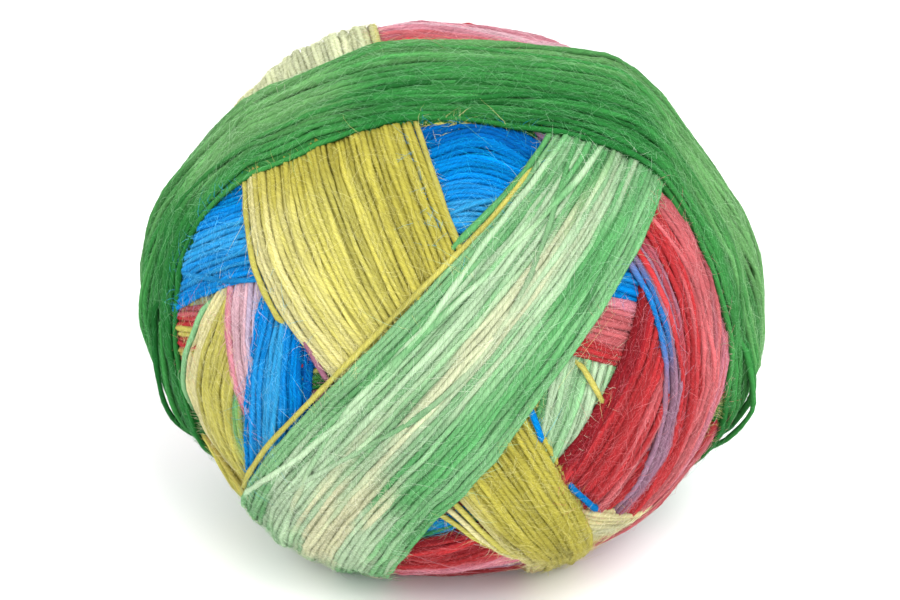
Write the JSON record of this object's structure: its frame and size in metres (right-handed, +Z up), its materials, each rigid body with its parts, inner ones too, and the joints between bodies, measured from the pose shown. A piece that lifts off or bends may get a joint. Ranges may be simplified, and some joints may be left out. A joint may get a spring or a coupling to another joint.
{
  "type": "ball of self-striping yarn",
  "caption": "Machine-wound ball of soft wool yarn with broad overlapping bands of turns, resting on a small flat spot.",
  "frame": {"origin": "centre of the ball's plan, on the surface that the ball rests on", "axes": "+X along the ball's longest way, +Z up, the side with the broad diagonal band faces -Y"},
  "size_m": [0.1139, 0.1071, 0.1002],
  "materials": {
    "wool_yarn": "matt, softly fuzzy wool dyed in long runs of green, yellow, blue, red and pink"
  },
  "bodies": {
    "root": {"wound_yarn": "wool_yarn"}
  },
  "joints": []
}
